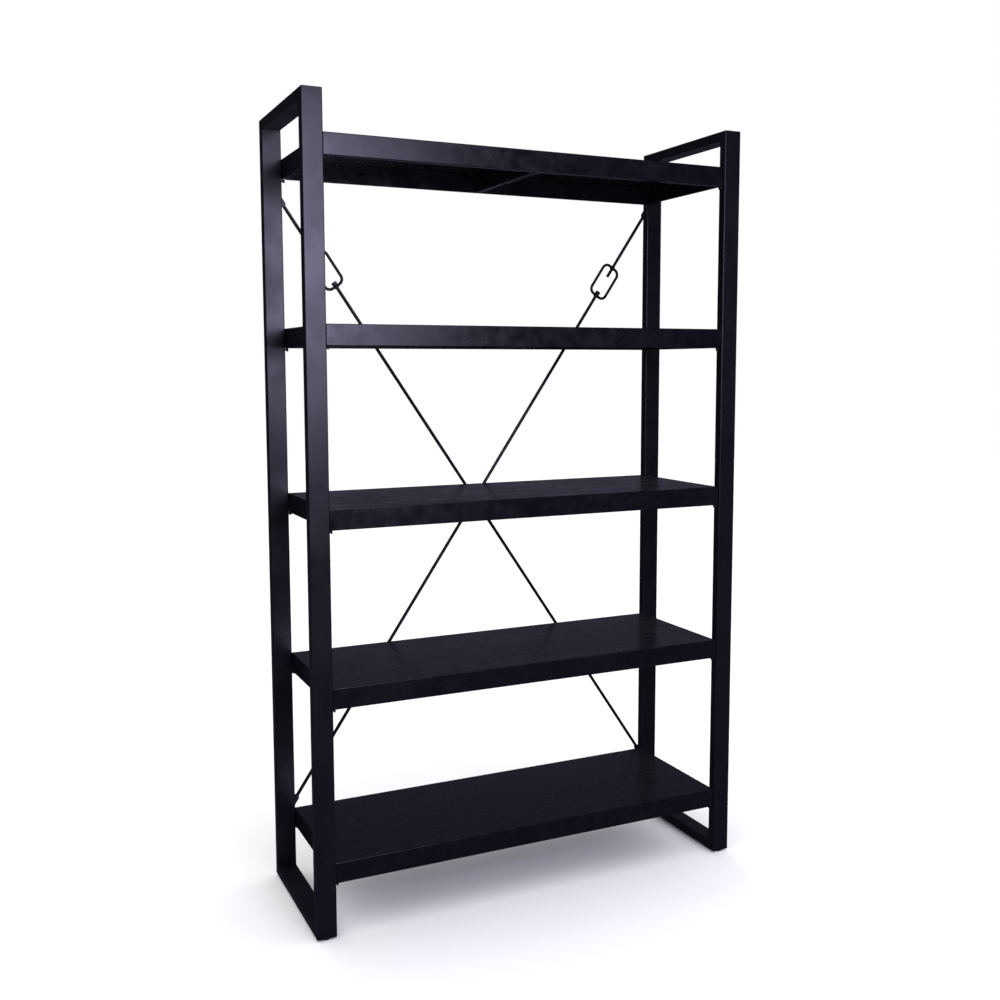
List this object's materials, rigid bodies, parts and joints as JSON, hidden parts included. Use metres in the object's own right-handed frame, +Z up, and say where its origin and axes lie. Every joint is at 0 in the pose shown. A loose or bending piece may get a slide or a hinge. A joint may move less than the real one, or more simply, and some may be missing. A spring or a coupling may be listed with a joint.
{
  "type": "bookcase",
  "caption": "Tall open bookcase: tube side frames, folded pan shelves on headed pins and a rear cross of tie rods with turning tension rings.",
  "frame": {"origin": "on the floor, at the centre of the bookcase's footprint", "axes": "+Z up, +X to the right seen from the front, +Y to the rear, front faces -Y"},
  "size_m": [1.205, 0.406, 2.005],
  "materials": {
    "frame_steel": "near-black satin paint on steel tube, faintly blue",
    "shelf_steel": "near-black lacquer on folded sheet, fine streaks along the shelf, satin gloss on top",
    "rod_steel": "blackened steel rod and wire, satin",
    "fastener_steel": "blackened steel, slightly brighter on the edges",
    "glide_plastic": "matte black moulded plastic"
  },
  "bodies": {
    "bookcase_frame": {"front_post_left": "frame_steel", "glide_foot_front_left": "glide_plastic", "rear_post_left": "frame_steel", "glide_foot_rear_left": "glide_plastic", "top_rail_left": "frame_steel", "bottom_rail_left": "frame_steel", "front_post_right": "frame_steel", "glide_foot_front_right": "glide_plastic", "rear_post_right": "frame_steel", "glide_foot_rear_right": "glide_plastic", "top_rail_right": "frame_steel", "bottom_rail_right": "frame_steel", "shelf_pan_1": "shelf_steel", "shelf_rib_1": "shelf_steel", "shelf_pin_1_front_left": "fastener_steel", "shelf_pin_1_front_right": "fastener_steel", "shelf_pin_1_rear_left": "fastener_steel", "shelf_pin_1_rear_right": "fastener_steel", "shelf_pan_2": "shelf_steel", "shelf_rib_2": "shelf_steel", "shelf_pin_2_front_left": "fastener_steel", "shelf_pin_2_front_right": "fastener_steel", "shelf_pin_2_rear_left": "fastener_steel", "shelf_pin_2_rear_right": "fastener_steel", "shelf_pan_3": "shelf_steel", "shelf_rib_3": "shelf_steel", "shelf_pin_3_front_left": "fastener_steel", "shelf_pin_3_front_right": "fastener_steel", "shelf_pin_3_rear_left": "fastener_steel", "shelf_pin_3_rear_right": "fastener_steel", "shelf_pan_4": "shelf_steel", "shelf_rib_4": "shelf_steel", "shelf_pin_4_front_left": "fastener_steel", "shelf_pin_4_front_right": "fastener_steel", "shelf_pin_4_rear_left": "fastener_steel", "shelf_pin_4_rear_right": "fastener_steel", "shelf_pan_5": "shelf_steel", "shelf_rib_5": "shelf_steel", "shelf_pin_5_front_left": "fastener_steel", "shelf_pin_5_front_right": "fastener_steel", "shelf_pin_5_rear_left": "fastener_steel", "shelf_pin_5_rear_right": "fastener_steel", "rod_anchor_upper_left": "frame_steel", "rod_anchor_lower_left": "frame_steel", "upper_rod_left": "rod_steel", "lower_rod_left": "rod_steel", "swivel_nut_left": "fastener_steel", "rod_anchor_upper_right": "frame_steel", "rod_anchor_lower_right": "frame_steel", "upper_rod_right": "rod_steel", "lower_rod_right": "rod_steel", "swivel_nut_right": "fastener_steel"},
    "ring_left": {"tension_ring_left": "rod_steel"},
    "ring_right": {"tension_ring_right": "rod_steel"}
  },
  "joints": [
    {"name": "tension_ring_left_turn", "type": "hinge", "parent": "bookcase_frame", "child": "ring_left", "pos_m": [-0.43461, 0.1971, 1.63321], "axis": [0.5614, 0, -0.8276], "continuous": true},
    {"name": "tension_ring_right_turn", "type": "hinge", "parent": "bookcase_frame", "child": "ring_right", "pos_m": [0.41166, 0.1878, 1.62824], "axis": [-0.5611, 0, -0.8277], "continuous": true}
  ]
}
